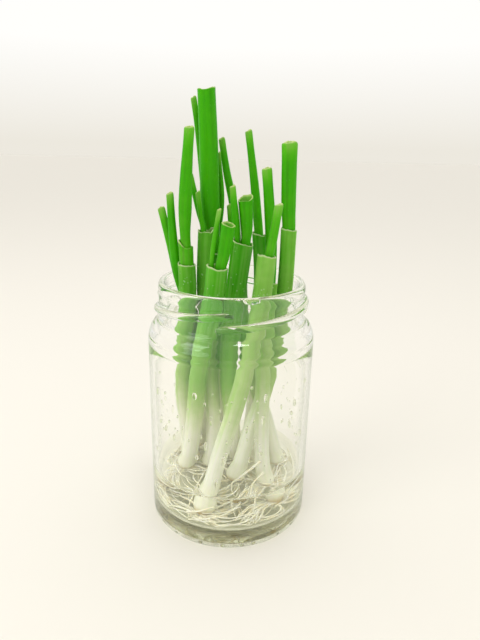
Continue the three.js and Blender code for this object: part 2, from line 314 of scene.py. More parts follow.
def fibre_group():
    """Long fine fibres that follow a stalk, slow blotches and small waxy specks.
    All read the stalk's own unbent place."""
    group = bpy.data.node_groups.new("plant fibres", "ShaderNodeTree")
    for name, start in (("Width", 0.0012), ("Length", 0.06), ("Blotch", 0.006)):
        group.interface.new_socket(name, in_out="INPUT", socket_type="NodeSocketFloat").default_value = start
    for name in ("Fibres", "Blotches", "Specks"):
        group.interface.new_socket(name, in_out="OUTPUT", socket_type="NodeSocketFloat")
    given = group.nodes.new("NodeGroupInput").outputs
    result = group.nodes.new("NodeGroupOutput").inputs
    place = add_node(group, "Attribute", attribute_name="unbent").outputs["Vector"]
    across, along, slow = (maths(group, "DIVIDE", 1.0, given[name]) for name in ("Width", "Length", "Blotch"))
    scale = add_node(group, "CombineXYZ", {"X": across, "Y": across, "Z": along}).outputs[0]
    stretched = add_node(group, "VectorMath", {0: place, 1: scale}, operation="MULTIPLY").outputs[0]
    fibres = clouds(group, stretched, 1.0, 3.0, 0.6)
    blotches = clouds(group, place, slow, 2.0)
    spots = add_node(group, "TexVoronoi", {"Vector": place, "Scale": 620.0}).outputs["Distance"]
    near = ranged(group, spots, 0.1, 0.2, 1.0, 0.0)
    few = ranged(group, blotches, 0.5, 0.62)
    group.links.new(fibres, result["Fibres"])
    group.links.new(blotches, result["Blotches"])
    group.links.new(maths(group, "MULTIPLY", near, few), result["Specks"])
    return group


FIBRES = fibre_group()

GREENING = [
    (0.0, colour(247, 246, 236)),
    (0.2, colour(240, 241, 220)),
    (0.4, colour(198, 220, 150)),
    (0.6, colour(142, 196, 84)),
    (0.8, colour(84, 186, 6)),
    (1.0, colour(42, 160, 0)),
]
WAX = colour(226, 236, 206)
PLATE_BROWN = colour(204, 176, 108)
PLATE_FADE = (0.0009, 0.0044)  # metres up the stalk over which the root plate's brown fades
PLATE_STRENGTH = 0.85
WAVER = 0.05  # how far fibres and blotches each shift the green
SKIN_SHINE = 0.12


def tissue(name, bloom, cut_colour, fibre_width, stripes, specks, relief, roughness, softness):
    """Onion skin that goes from white to green by the piece's own attribute, with pale and
    dark fibres, waxy specks, a brown root plate and a dry cut edge."""
    material, tree, skin, _ = new_material(name, {
        "Specular IOR Level": SKIN_SHINE,
        "Subsurface Weight": softness,
        "Subsurface Radius": (1.0, 1.0, 0.5),
        "Subsurface Scale": 0.001,
    })
    fibres, blotches, spots = add_node(tree, "Group", {"Width": fibre_width}, node_tree=FIBRES).outputs
    green = add_node(tree, "Attribute", attribute_name="green").outputs["Fac"]
    cut = add_node(tree, "Attribute", attribute_name="cut").outputs["Fac"]
    place = add_node(tree, "Attribute", attribute_name="unbent").outputs["Vector"]
    height = add_node(tree, "SeparateXYZ", {0: place}).outputs["Z"]
    shifted = ranged(tree, blotches, 0.25, 0.75, -WAVER, WAVER)
    veins = ranged(tree, fibres, 0.3, 0.7, -WAVER, WAVER)
    level = maths(tree, "ADD", green, maths(tree, "ADD", veins, shifted))
    base = ramp(tree, level, GREENING, "B_SPLINE")
    pale = ramp(tree, fibres, [(0.42, 0.0), (0.72, stripes)])
    striped = mixed(tree, pale, base, bloom)
    dark = ramp(tree, fibres, [(0.28, 1 - stripes * 0.6), (0.52, 1.0)])
    strength = ranged(tree, level, 0.15, 0.6, 0.15, 1.0)
    lined = mixed(tree, strength, striped, dark, "MULTIPLY")
    specked = mixed(tree, maths(tree, "MULTIPLY", spots, specks), lined, WAX)
    plate = ranged(tree, height, *PLATE_FADE, PLATE_STRENGTH, 0.0)
    browned = mixed(tree, plate, specked, PLATE_BROWN)
    tree.links.new(mixed(tree, cut, browned, cut_colour), skin.inputs["Base Color"])
    rough = ramp(tree, blotches, [(0.3, roughness - 0.08), (0.7, roughness + 0.1)])
    tree.links.new(rough, skin.inputs["Roughness"])
    uneven(tree, skin, fibres, relief, 0.0002)
    return material


def root_material():
    """Pale cream, a little blotched and finely uneven."""
    material, tree, skin, _ = new_material("root cream", {
        "Roughness": 0.4,
        "Subsurface Weight": 0.35,
        "Subsurface Radius": (1.0, 0.9, 0.6),
        "Subsurface Scale": 0.0006,
    })
    place = add_node(tree, "TexCoord").outputs["Object"]
    tint = ramp(tree, clouds(tree, place, 260.0, 3.0), [
        (0.25, colour(238, 226, 192)),
        (0.5, colour(250, 246, 230)),
        (0.75, colour(254, 253, 246)),
    ])
    tree.links.new(tint, skin.inputs["Base Color"])
    uneven(tree, skin, clouds(tree, place, 2600.0, 2.0), 0.3, 0.00008)
    return material


DEEPEST_BEND = 4.5  # light that has bent or bounced more often than this goes straight on
EDGE_SHADE_STARTS = 0.62  # how far the surface turns from the eye before its edge colour starts: a darker green, partly the glass's thickness and partly painted shade


def clear_material(name, tint, shade, deep, ior, edge=None, wave=0.0):
    """A clear body that bends light, with its edge colour where it is seen edge on: a darker green that is
    partly the glass's thickness and partly painted shade for a dim room seen in its edges. The lamps'
    light goes straight through it in the shade colour, and spent light in the deep colour."""
    material, tree, skin, output = new_material(name, {
        "Base Color": tint,
        "Roughness": 0.0,
        "IOR": ior,
        "Transmission Weight": 1.0,
    })
    if edge:
        # Painted shade: the base colour darkens to the edge colour where the surface is seen edge on, partly
        # for the glass's thickness and partly for a dim room seen in its edges.
        facing = add_node(tree, "LayerWeight", {"Blend": 0.5}).outputs["Facing"]
        rim = ramp(tree, facing, [(EDGE_SHADE_STARTS, tint), (1.0, edge)])
        tree.links.new(rim, skin.inputs["Base Color"])
    if wave:
        place = add_node(tree, "TexCoord").outputs["Object"]
        uneven(tree, skin, clouds(tree, place, 90.0, 1.0), wave, 0.001)
    ray = add_node(tree, "LightPath").outputs
    lamp_light = ray["Is Shadow Ray"]
    spent = maths(tree, "GREATER_THAN", ray["Ray Depth"], DEEPEST_BEND)
    straight = maths(tree, "MAXIMUM", lamp_light, spent)
    through = add_node(tree, "BsdfTransparent", {"Color": mixed(tree, lamp_light, deep, shade)})
    either = add_node(tree, "MixShader", {0: straight, 1: skin.outputs[0], 2: through.outputs[0]})
    tree.links.new(either.outputs[0], output.inputs["Surface"])
    return material


SHANK_SKIN = tissue(
    "shank skin", bloom=colour(190, 224, 132), cut_colour=colour(206, 218, 168), fibre_width=0.0016,
    stripes=0.27, specks=0.5, relief=0.55, roughness=0.38, softness=0.12,
)
LEAF_SKIN = tissue(
    "leaf skin", bloom=colour(84, 194, 0), cut_colour=colour(200, 216, 140), fibre_width=0.0015,
    stripes=0.4, specks=0.05, relief=0.5, roughness=0.34, softness=0.06,
)
ROOT_SKIN = root_material()
# The jar's edge colour is a dark green: partly the glass's thickness seen edgewise, partly painted shade.
GLASS = clear_material(
    "jar glass", tint=colour(255, 255, 254), shade=colour(252, 253, 251), deep=colour(246, 248, 240),
    ior=1.5, edge=colour(104, 134, 114), wave=0.05,
)
WATER = clear_material(
    "water", tint=colour(255, 255, 252), shade=colour(254, 254, 252), deep=colour(254, 254, 250), ior=1.33,
)


# The jar

JAR_SIDES = 128
BODY = 34  # radii in mm: the body's outside, its inside and the neck's outside
INNER_WALL = 31.6
NECK = 29.4


def arc(centre, radii, start, end, steps):
    """Points (radius, height) on part of an ellipse in a profile, angles in degrees."""
    return [
        (
            centre[0] + radii[0] * math.cos(math.radians(mix(start, end, i / steps))),
            centre[1] + radii[1] * math.sin(math.radians(mix(start, end, i / steps))),
        )
        for i in range(steps + 1)
    ]


def rippled(points, size=0.16, spacing=2.9):
    """The same profile with the slow rings that moulded glass has, their size and spacing in mm."""
    rings_there = []
    for (r0, z0), (r1, z1) in zip(points, points[1:]):
        for t in (0, 1 / 3, 2 / 3):
            z = mix(z0, z1, t)
            rings_there.append((mix(r0, r1, t) + size * math.sin(2 * math.pi * z / spacing), z))
    return rings_there


def jar_profile():
    """(radius, height) from the middle of the base up the outside, over the rim and down the inside."""
    outside = [
        (4, 1.2), (19, 1.15), (24.6, 0.7), (26, 0.12), (27, 0),
        (31.7, 0),
        *arc((31.4, 2.6), (2.6, 2.6), -72, 0, 5),
        (BODY, 12), (BODY, 30), (BODY, 50), (BODY, 70),
        *arc((29.6, 79.4), (4.4, 8.4), 0, 74, 10),
        (30.3, 87.9), (29.75, 88.6), (29.45, 89.8), (NECK, 91.2),
        (NECK, 95), (NECK, 98.6),
        *arc((28.6, 100.8), (0.9, 1.9), -40, 0, 2),
        *arc((28, 101.6), (1.5, 2.4), 0, 90, 5),
    ]
    inside = [
        *arc((27.9, 101.8), (1.3, 2.1), 100, 180, 4),
        (26.5, 99), (26.45, 95), (26.55, 92.4), (26.4, 90.4),
        *rippled([
            (26.9, 88.4), (27.9, 86.6), (29.3, 84.9), (30.5, 83.2), (31.2, 81.3), (31.5, 79.2),
            (INNER_WALL, 76.8),
        ]),
        (INNER_WALL, 74), (31.45, 70), *[(INNER_WALL, height) for height in (66, 50, 34, 24, 14)],
        *arc((25.6, 12.6), (6, 6.2), 0, -84, 9),
        (20, 6.45), (10, 6.7), (4, 6.8),
    ]
    return [*outside, *inside]


LUGS = 4
LUG_THICKNESS = 3.1
LUG_RADIUS = 29.8
LUG_LOW = 92.0
LUG_RISE = 5.4
LUG_SWEEP = math.radians(100)
LUG_DIP = 1.6  # how far its ends sink into the neck
LUG_STEPS = 40
FIRST_LUG = math.radians(-100)  # where the lug on the right starts, just left of the front


def lug_route(start):
    """The middle line of one thread lug, which runs up and round the neck and sinks into it at both ends."""
    route = []
    for i in range(LUG_STEPS + 1):
        t = i / LUG_STEPS
        away = LUG_RADIUS - LUG_DIP * abs(2 * t - 1) ** 7
        angle = start + LUG_SWEEP * t
        route.append((away * math.cos(angle), away * math.sin(angle), LUG_LOW + LUG_RISE * t))
    return route


DIMPLES = 22
DIMPLE_LENGTH = (0.7, 1.1)  # half of it, in mm, between these
DIMPLE_RING = (28.2, 30)  # how far from the jar's middle, between these


def add_dimple(heading, chance):
    """A short shallow hollow in the ring that the jar stands on."""
    bpy.ops.object.select_all(action="DESELECT")
    bpy.ops.mesh.primitive_uv_sphere_add(segments=10, ring_count=6, radius=MM)
    dimple = bpy.context.object
    size = Matrix.Diagonal((chance.uniform(*DIMPLE_LENGTH), 1.1, 0.5, 1))
    place = Matrix.Translation((chance.uniform(*DIMPLE_RING) * MM, 0, 0))
    turn = Matrix.Rotation(heading + chance.uniform(-0.08, 0.08), 4, "Z")
    dimple.data.transform(turn @ place @ size)
    return dimple


def add_jar():
    """The jar, with its thread lugs joined on and dimples cut in its standing ring."""
    jar = turned("clear_jar", jar_profile(), JAR_SIDES)
    for i in range(LUGS):
        route = lug_route(FIRST_LUG + i * 2 * math.pi / LUGS)
        lug = strands("lug", [route], LUG_THICKNESS, sides=4)
        apply_modifier(jar, "BOOLEAN", operation="UNION", object=lug, solver="EXACT")
        bpy.data.objects.remove(lug)
    chance = random.Random(7)
    dimples = [add_dimple(2 * math.pi * i / DIMPLES, chance) for i in range(DIMPLES)]
    apply_modifier(jar, "BOOLEAN", operation="DIFFERENCE", object=join(dimples, "dimples"), solver="EXACT")
    bpy.data.objects.remove(bpy.data.objects["dimples"])
    smooth(jar, 50)
    jar.data.materials.clear()
    jar.data.materials.append(GLASS)
    return jar


# The water

SUNK = 0.1  # how far the water and its drops reach into the glass, in mm, so that no air is between
LEVEL = 22.5


def water_profile():
    """(radius, height) from the floor's middle out, up the wall and in over the surface."""
    return [
        (4, 6.7), (10, 6.6), (20, 6.35), (25.6, 6.3),
        *arc((25.6, 12.6), (6.1, 6.3), -80, 0, 8),
        (INNER_WALL + SUNK, 18), (INNER_WALL + SUNK, 23.9),
        (31.55, 23.8), (31.3, 23.25), (30.9, 22.85), (30.2, 22.6), (29, LEVEL), (20, LEVEL), (4, LEVEL),
    ]


TONGUE = (math.radians(-112), 0.05, 4.2)  # the film that climbs by the front bulb: heading, half width, rise


def add_water():
    """The water, with its edge raised in a tongue up the glass."""
    water = turned("still_water", water_profile(), JAR_SIDES)
    heading, width, rise = TONGUE
    for vertex in water.data.vertices:
        if vertex.co.z > (LEVEL + 0.2) * MM and math.hypot(vertex.co.x, vertex.co.y) > 31.2 * MM:
            off = (math.atan2(vertex.co.y, vertex.co.x) - heading) / width
            vertex.co.z += rise * MM * math.exp(-off * off)
    smooth(water, 50)
    water.data.materials.append(WATER)
    return water


# Drops on the glass

NECK_DROP = (math.radians(-74.5), 101.8, 26.5)  # heading, height and the wall's radius there
LARGE_DROPS = [  # heading in degrees, height, half width and half height in mm
    (-94, 40, 0.9, 2.2), (-92, 43, 0.7, 1.2), (-114, 66.5, 1.2, 1.2),
    (-66, 66, 0.9, 1.6), (-76, 71, 0.6, 0.7), (-40, 60, 0.8, 1.3),
    (-150, 62, 0.8, 1.5), (-140, 48, 0.7, 1.1), (-30, 44, 0.8, 1.4),
]
LARGE_DROP_DEPTH = 0.7
SMALL_DROPS = 170
SMALL_DROP_WIDTHS = (0.3, 0.36, 0.45, 0.58, 0.72)
SMALL_DROP_LENGTHS = (1, 1.1, 1.4, 2.2)  # as a share of the width
MISTED = (28, 71)  # the heights between which the small drops are


def add_drop(heading, height, radius, wide, tall, thick, hangs=False):
    """A drop that clings to the inner wall: narrow above, or flat above if it hangs."""
    bpy.ops.object.select_all(action="DESELECT")
    bpy.ops.mesh.primitive_uv_sphere_add(segments=10, ring_count=6, radius=MM)
    drop = bpy.context.object
    for vertex in drop.data.vertices:
        vertex.select = vertex.co.z > 0.1 * MM
    bpy.ops.object.mode_set(mode="EDIT")
    if hangs:
        bpy.ops.transform.resize(value=(1, 1, 0.25), center_override=(0, 0, 0))
    else:
        bpy.ops.transform.resize(value=(0.85, 0.8, 1.2), center_override=(0, 0, 0))
    bpy.ops.mesh.select_all(action="SELECT")
    bpy.ops.transform.resize(value=(thick, wide, tall), center_override=(0, 0, 0))
    done()
    cling = Matrix.Translation(((radius + SUNK - thick * 0.35) * MM, 0, height * MM))
    drop.data.transform(Matrix.Rotation(heading, 4, "Z") @ cling)
    return drop


def add_drops():
    """The hanging drop at the neck, the large drops and the fine mist, as one piece."""
    chance = random.Random(41)
    heading, height, radius = NECK_DROP
    drops = [add_drop(heading, height, radius, 3.2, 3.1, 1.9, hangs=True)]
    for degrees, height, wide, tall in LARGE_DROPS:
        drops.append(add_drop(math.radians(degrees), height, INNER_WALL, wide, tall, LARGE_DROP_DEPTH))
    for _ in range(SMALL_DROPS):
        wide = chance.choice(SMALL_DROP_WIDTHS) * chance.uniform(0.8, 1.2)
        tall = wide * chance.choice(SMALL_DROP_LENGTHS)
        thick = min(wide, 0.65) * 1.05
        heading = chance.uniform(0, 2 * math.pi)
        drops.append(add_drop(heading, chance.uniform(*MISTED), INNER_WALL, wide, tall, thick))
    piece = join(drops, "wall_drops")
    smooth(piece, 80)
    piece.data.materials.append(WATER)
    return piece


# The onions

SHEATH_WALL = 0.55
MOUTH_DEPTH = 14
LEAF_WALL = 0.5
SHANK_SIDES = 32
LEAF_SIDES = 24
SHANK_RING_STEP = 3
LEAF_RING_STEP = 2.4

# route: the shank's middle line from the root plate to the cut, in mm. bulb, radius, top: its radii.
# green: where along it the green starts and is full, and how green it gets. cut: how far the cut
# tilts in mm and its heading in degrees, and how ragged it is. A leaf's seat is its place in the
# sheath's mouth, to is where it goes, radii are at its foot, middle and tip. tone: how green
# it is. fill: how much wider and deeper its foot is. notch: how deep its cut dips in front.
PLANTS = [
    dict(
        name="left", bulb=4.3, radius=3.5, top=3.5, green=(17, 64, 0.80), cut=(0.5, 200, 0.35),
        route=[(-18.5, 14, 9.5), (-20.4, 8.2, 38), (-20.8, 3.4, 64), (-17.9, 0, 99), (-18.1, -1, 110)],
        leaves=[
            dict(name="inner_sheath", seat=(0, 0), to=[(-18.4, -1, 118)], radii=(2.8, 2.85, 2.85),
                 notch=1.6, open=True, hollow=9, tone=0.82, cut=(1.5, 180, 0.3)),
            dict(name="leaf_1", inside="inner_sheath", depth=8.6, seat=(0, 0),
                 to=[(-18.6, -1, 124), (-18, -0.8, 142), (-16.5, -0.8, 161)], radii=(2, 2.5, 1.9),
                 tone=0.93, cut=(0.35, 60, 0.15)),
        ],
    ),
    dict(
        name="far_left", bulb=4.2, radius=3.2, top=4, green=(20, 58, 0.82), cut=(0.4, 30, 0.3),
        route=[(-11.4, 22.4, 9.5), (-14.6, 17, 40), (-18.1, 11.6, 70), (-18.8, 8.6, 90)],
        leaves=[
            dict(name="leaf_1", seat=(-0.3, -1.45),
                 to=[(-22, 3.6, 104), (-23.5, 2.4, 117), (-24.6, 2.4, 137)],
                 radii=(1.45, 1.9, 1.4), tone=0.95, cut=(0.4, 40, 0.15)),
            dict(name="leaf_2", seat=(-0.9, 1.35),
                 to=[(-22.9, 7.4, 103), (-25.2, 6.4, 115.5), (-28.6, 6.2, 131)],
                 radii=(1.2, 1.5, 1.45), tone=0.9, cut=(0.3, 300, 0.15)),
            dict(name="leaf_3", seat=(1.6, 0.9), to=[(-17.4, 8.2, 99), (-19.8, 5.4, 120)],
                 radii=(0.6, 0.7, 0.75), tone=0.9, cut=(0.2, 0, 0.1)),
        ],
    ),
    dict(
        name="front_left", bulb=4.4, radius=3.6, top=4.2, green=(14, 58, 0.86), cut=(0.7, 230, 0.35),
        route=[(-20.2, 2.4, 9.5), (-17.6, 1.6, 25), (-15.4, -0.2, 42), (-13, -5, 67), (-6.8, -13, 99),
               (-5.5, -14.6, 112)],
        leaves=[
            dict(name="leaf_1", seat=(0.8, 0), to=[(-3.8, -15, 114), (-1.6, -15.4, 128)],
                 radii=(2.3, 2.4, 2.55), fill=(0.95, 1.2), open=True, tone=0.93, cut=(0.5, 120, 0.3)),
            dict(name="leaf_2", seat=(-2.15, 0.2), to=[(-7.5, -14, 116), (-5, -13.4, 133)],
                 radii=(0.8, 0.95, 0.8), tone=0.84, cut=(0.3, 30, 0.1)),
        ],
    ),
    dict(
        name="centre", bulb=4.3, radius=3.5, top=4.2, green=(16, 56, 0.91), cut=(0.6, 160, 0.3),
        route=[(3.2, 9.5, 9.5), (1, 4, 38), (-1, 0, 66), (1.4, -3, 97), (3.9, -3.4, 119.5)],
        leaves=[
            dict(name="leaf_1", seat=(1.15, 0), to=[(5.3, -3.2, 123), (4.6, -2.6, 136)],
                 radii=(2.1, 2.55, 2.95), fill=(0.95, 1.2), open=True, tone=0.93, cut=(1.3, 60, 0.3)),
            dict(name="leaf_2", seat=(-1.85, -0.3), to=[(1.5, -3.8, 122), (-0.4, -3.8, 140.5)],
                 radii=(1.15, 1.45, 1.15), fill=(0.9, 1.2), tone=0.94, cut=(0.3, 30, 0.1)),
        ],
    ),
    dict(
        name="left_centre", bulb=4.2, radius=3.3, top=3.4, green=(16, 58, 0.80), cut=(0.5, 20, 0.7),
        route=[(-8.6, 3, 9.5), (-7.3, 4.2, 38), (-9.4, 5, 66), (-11.2, 5, 97), (-10.6, 5, 122.5)],
        leaves=[
            dict(name="leaf_1", seat=(-1.1, -0.95), to=[(-12.4, 4.9, 125), (-14, 5.2, 137.5)],
                 radii=(0.9, 0.95, 0.95), tone=0.86, cut=(0.3, 0, 0.1)),
            dict(name="leaf_2", seat=(-0.65, 0.95), to=[(-12.8, 7.4, 126), (-17.2, 8, 144)],
                 radii=(1, 1.2, 1.1), tone=0.95, cut=(0.3, 0, 0.1)),
        ],
    ),
    dict(
        name="rear_left", bulb=4.5, radius=3.7, top=4.9, green=(22, 62, 0.96), cut=(0.5, 300, 0.3),
        route=[(-1.8, 21.5, 9.5), (-4.2, 18.4, 40), (-7.2, 15, 80), (-8.8, 13.4, 112)],
        leaves=[
            dict(name="leaf_1", seat=(0, -1.35),
                 to=[(-9.5, 12.4, 132), (-10, 12.2, 152), (-11, 11.8, 175.3)],
                 radii=(3.2, 4, 3.45), notch=1.1, fill=(1.15, 0.8), open=True,
                 tone=0.95, cut=(0.4, 300, 0.2)),
            dict(name="leaf_2", seat=(-1.6, 2.2),
                 to=[(-12.6, 17.2, 140), (-14.8, 16.8, 162), (-16.3, 16.6, 172.5)],
                 radii=(1, 1.3, 1.15), tone=0.94, cut=(0.3, 0, 0.1)),
            dict(name="leaf_3", seat=(1.6, 2.2), to=[(-4.8, 15.4, 133), (-6.2, 14.9, 152)],
                 radii=(1, 1.2, 0.75), tone=0.92, cut=(0.3, 0, 0.1)),
        ],
    ),
    dict(
        name="rear_centre", bulb=4.3, radius=3.4, top=3.6, green=(18, 62, 0.90), cut=(0.5, 100, 0.3),
        route=[(22.8, 5, 9.5), (19.8, 7.6, 26), (9.4, 13, 60), (3.6, 15, 90), (2.6, 16, 112)],
        leaves=[
            dict(name="leaf_1", seat=(-0.4, 0.9), to=[(0.2, 18, 130), (-2.9, 17.8, 144), (-5.2, 17.6, 157.5)],
                 radii=(1.65, 1.85, 1.25), tone=0.93, cut=(0.3, 20, 0.15)),
            dict(name="leaf_2", seat=(-0.2, -1.6), to=[(-0.4, 12.8, 119), (-1.9, 12.4, 132)],
                 radii=(0.85, 0.9, 0.85), tone=0.9, cut=(0.3, 0, 0.1)),
        ],
    ),
    dict(
        name="rear_right", bulb=4.2, radius=3.1, top=3.2, green=(22, 66, 0.92), cut=(1.0, 180, 0.3),
        route=[(9, 24.2, 9.5), (11.6, 23, 45), (12.6, 18.4, 76), (12.5, 14.6, 103), (11.2, 14, 120)],
        leaves=[
            dict(name="leaf_1", seat=(-0.4, 0), to=[(8.4, 14, 140), (5.4, 14, 160.5)],
                 radii=(1.9, 1.85, 1.4), tone=0.93, cut=(0.3, 20, 0.1)),
        ],
    ),
    dict(
        name="right", bulb=4.4, radius=3.3, top=3.1, green=(20, 62, 0.75), cut=(0.5, 200, 0.3),
        route=[(2, -8, 9.5), (9.2, 1, 35), (18.4, 5, 65), (21.6, 2.8, 99), (22, 2, 124)],
        leaves=[
            dict(name="leaf_1", seat=(0, 0), to=[(21.4, 1.8, 132), (20.6, 1.8, 156.5)],
                 radii=(2.6, 2.85, 2.85), tone=0.95, cut=(0.4, 60, 0.2)),
        ],
    ),
    dict(
        name="mid_right", bulb=3.9, radius=3.1, top=3.2, green=(14, 66, 0.72), cut=(0.6, 200, 0.3),
        route=[(16.6, -10.6, 9.5), (14.2, -8.4, 27), (13.6, -4.8, 52), (14.2, -2.4, 78), (15.2, -0.6, 103)],
        leaves=[
            dict(name="leaf_1", seat=(0, 0), to=[(15.2, 0.6, 118), (14, 0.8, 132), (12.4, 0.8, 147)],
                 radii=(2.25, 2.2, 1.9), tone=0.94, cut=(0.3, 60, 0.15)),
        ],
    ),
    dict(
        name="front_right", bulb=4.3, radius=3.4, top=3.7, green=(12, 58, 0.66), cut=(0.6, 250, 0.5),
        route=[(-9.6, -19.6, 9.5), (-4.8, -18, 31), (0.9, -16, 51), (7.4, -13.8, 77), (11.4, -12, 101),
               (12.7, -12, 116)],
        leaves=[
            dict(name="leaf_1", seat=(0.9, 0.2), to=[(14.4, -11.9, 120), (16.6, -12, 135)],
                 radii=(1.75, 1.75, 1.6), fill=(1, 1.2), tone=0.86, cut=(0.4, 20, 0.15)),
        ],
    ),
]


def rings(start, end, step):
    """Even heights from the start to the end, about a step apart."""
    count = max(1, round((end - start) / step))
    return [mix(start, end, i / count) for i in range(count + 1)]


CUT_EDGE = 0.45  # how wide the dry cut edge is, in mm
INSIDE_PALER = 0.72
SOLID_FOOT = 8  # below this height a stalk has no inside


def mark(piece, green_at, radius_at, cut_height):
    """Stores on each point its unbent place, how green it is there, and how near the cut edge it is."""
    mesh = piece.data
    for name, kind in (("unbent", "FLOAT_VECTOR"), ("green", "FLOAT"), ("cut", "FLOAT")):
        mesh.attributes.new(name, kind, "POINT")
    place, green, cut = (mesh.attributes[name] for name in ("unbent", "green", "cut"))
    for i, vertex in enumerate(mesh.vertices):
        height = vertex.co.z / MM
        inside = math.hypot(vertex.co.x, vertex.co.y) / MM < radius_at(height) * 0.9
        place.data[i].vector = vertex.co
        green.data[i].value = green_at(height) * (INSIDE_PALER if inside and height > SOLID_FOOT else 1)
        cut.data[i].value = min(0.8, max(0.0, 1 - (cut_height - height) / CUT_EDGE))


def shape_cut(piece, height, tilt, heading, ragged, seed, notch=0.0):
    """Makes the flat cut end slanting, wavy and a little torn."""
    chance = random.Random(seed)
    waves = [(k, chance.uniform(0, 6.28), chance.uniform(0.3, 1) / (1 + k / 7)) for k in (2, 3, 5, 8, 11)]
    heading = math.radians(heading)
    for vertex in piece.data.vertices:
        near = 1 - (height - vertex.co.z / MM) / 1.2
        if near <= 0:
            continue
        angle = math.atan2(vertex.co.y, vertex.co.x)
        lift = tilt * math.cos(angle - heading)
        lift += ragged * sum(size * math.cos(k * angle + turn) for k, turn, size in waves) * 0.8
        lift -= notch * max(0.0, math.cos(angle + math.pi / 2)) ** 3
        vertex.co.z += lift * min(1, near) * MM


WAIST = 0.02  # how much thicker and thinner a stalk gets along its length, as a share


def make_natural(piece, seed, ribs, oval=0.0):
    """Takes the turned look off a stalk: ribs that wind a little, an oval section and slow waists."""
    chance = random.Random(seed)
    waves = [(k, chance.uniform(0, 6.28), chance.uniform(0.5, 1) / (1 + k * 0.35)) for k in (2, 3, 5, 7)]
    wind = chance.uniform(-0.008, 0.008)
    start = chance.uniform(0, 6.28)
    for vertex in piece.data.vertices:
        angle = math.atan2(vertex.co.y, vertex.co.x)
        height = vertex.co.z / MM
        wound = angle + wind * height
        change = 1 + ribs * sum(size * math.cos(k * wound + turn) for k, turn, size in waves)
        change += WAIST * math.sin(height / 8 + start) * ease(height / 20)
        vertex.co.x *= change
        vertex.co.y *= change * (1 - oval)


def greening(height, start, full, long):
    """White below the start, mostly green at the full height, and at its greenest near the cut."""
    lower = ease((height - start) / (full - start))
    upper = ease((height - full) / (long - full - 6))
    return 0.74 * lower + 0.26 * upper


def shank_profile(plant, long):
    """(radius, height) from the root plate up the outside, over the cut and down into the layered mouth."""
    bulb, radius, top = plant["bulb"], plant["radius"], plant["top"]
    base = [
        (1.3, 0.0), (1.7, 0.1), (2.0, 0.5), (2.3, 0.95),
        (bulb * 0.68, 1.6), (bulb * 0.84, 2.5), (bulb * 0.95, 3.7), (bulb, 5.1),
        *[(mix(radius, bulb, share), h) for share, h in ((0.9, 7), (0.6, 9.6), (0.3, 12.6), (0.1, 16.5))],
        (radius, 20.5),
    ]
    heights = rings(24, long - 1.2, SHANK_RING_STEP)
    upper = [(mix(radius, top, ease((h - 24) / (long - 24))), h) for h in heights]
    wall = SHEATH_WALL
    bore = top - wall
    mouth = [
        (top + 0.03, long - 0.5), (top, long - 0.1),
        (top - wall * 0.3, long), (top - wall * 0.8, long - 0.05),
        (bore, long - 0.6), (bore - 0.02, long - 2.6), (bore - 0.12, long - 2.7), (bore - 0.16, long - 1.5),
        (bore - 0.3, long - 1.25), (bore - 0.5, long - 1.6), (bore - 0.55, long - 4),
        (bore - 0.6, long - MOUTH_DEPTH + 0.4), (top * 0.3, long - MOUTH_DEPTH),
    ]
    return [*base, *upper, *mouth]


def add_shank(plant, seed):
    """A bulb and its sheath, turned upright, roughened, cut and bent along its line."""
    route = Route(plant["route"])
    long = route.length
    piece = turned(plant["name"] + "_onion", shank_profile(plant, long), SHANK_SIDES)
    start, full, level = plant["green"]
    mouth_floor = long - MOUTH_DEPTH - 1
    mark(
        piece,
        lambda h: level * greening(h, start, full, long),
        lambda h: plant["top"] if h > mouth_floor else 0,
        long,
    )
    make_natural(piece, seed + 1000, 0.035)
    shape_cut(piece, long, *plant["cut"], seed)
    bend_along(piece, route)
    smooth(piece, 60)
    piece.data.materials.append(SHANK_SKIN)
    return piece


def leaf_route(plant, leaf):
    """The leaf's line: from its seat deep in the mouth of its sheath, up and out to its cut tip."""
    holder = next((other for other in plant["leaves"] if other["name"] == leaf.get("inside")), None)
    route = leaf_route(plant, holder) if holder else Route(plant["route"])
    deep = leaf.get("depth", MOUTH_DEPTH)
    standing = []
    for depth in (deep - 0.3, deep / 2, 0.5):
        point, side, back = route.at(route.length - depth)
        standing.append(point + side * leaf["seat"][0] + back * leaf["seat"][1])
    return Route([*standing, *leaf["to"]])


def leaf_radius(leaf, long):
    """The leaf's radius as a function of the height along it."""
    foot, middle, tip = leaf["radii"]
    free = leaf.get("depth", MOUTH_DEPTH) + 1
    half = mix(free, long, 0.3)

    def radius_at(h):
        if h <= free:
            return foot
        if h <= half:
            return mix(foot, middle, ease((h - free) / (half - free)))
        return mix(middle, tip, ease((h - half) / (long - half)))

    return radius_at


def leaf_profile(leaf, long):
    """(radius, height) up the outside and over the tip, which is open or nearly closed."""
    tip = leaf["radii"][2]
    radius_at = leaf_radius(leaf, long)
    free = leaf.get("depth", MOUTH_DEPTH) + 1
    wall = min(LEAF_WALL, tip * 0.4)
    depth = leaf.get("hollow", min(12, (long - free) * 0.7))
    outer = [(radius_at(h), h) for h in (0, 4, 8, *rings(free, long - 2.4, LEAF_RING_STEP))]
    if leaf.get("open"):
        rim = [
            (tip, long - 1.2), (tip + 0.04, long - 0.5), (tip + 0.02, long - 0.1),
            (tip - wall * 0.35, long), (tip - wall * 0.8, long - 0.06), (tip - wall, long - 0.5),
        ]
        inner = [(min(tip, radius_at(h)) - wall, h) for h in (long - depth * 0.4, long - depth * 0.9)]
        return [*outer, *rim, *inner, (tip * 0.25, long - depth)]
    rim = [
        (tip, long - 1.5), (tip * 0.98, long - 0.8), (tip * 0.91, long - 0.35), (tip * 0.78, long - 0.08),
        (tip * 0.6, long), (tip * 0.46, long - 0.1), (tip * 0.38, long - 0.4), (tip * 0.3, long - 1.1),
    ]
    return [*outer, *rim, (tip * 0.12, long - 1.4)]


PRESSED = 9  # mm above the sheath over which a pressed foot gets round again
PINCHED = 7  # mm of the tip that the knife pinched


